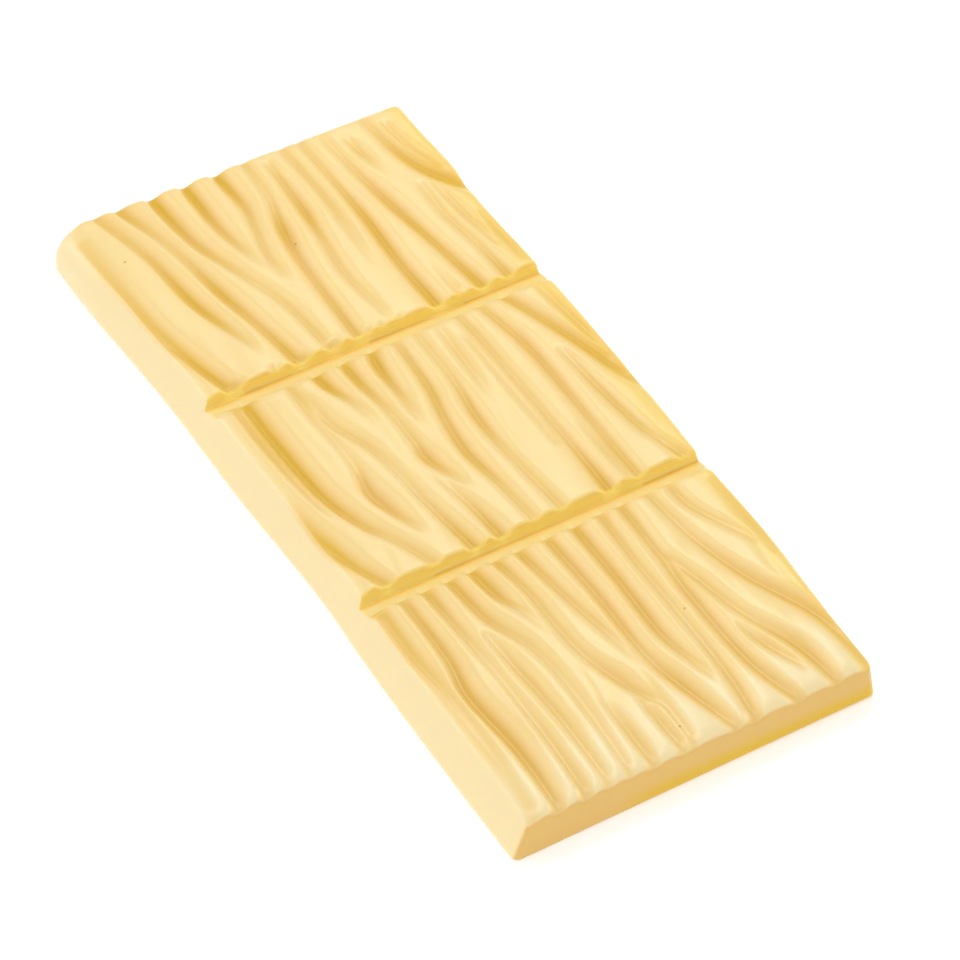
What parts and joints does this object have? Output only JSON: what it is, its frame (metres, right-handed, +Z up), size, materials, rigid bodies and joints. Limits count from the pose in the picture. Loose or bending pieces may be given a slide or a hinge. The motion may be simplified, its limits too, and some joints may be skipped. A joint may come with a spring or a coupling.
{
  "type": "white chocolate bar",
  "caption": "Unwrapped white chocolate bar with rounded wood-grain ridges along its top, scored into blocks for breaking apart.",
  "frame": {"origin": "centre of the flat underside's bounding rectangle, on the surface the bar lies on", "axes": "+X along the bar towards its near end, +Y across it towards the steeper long side, +Z up"},
  "size_m": [0.1214, 0.0546, 0.0064],
  "materials": {
    "white_chocolate": "moulded white chocolate: pale warm yellow, slightly translucent, soft satin gloss"
  },
  "bodies": {
    "root": {"bar": "white_chocolate"}
  },
  "joints": []
}
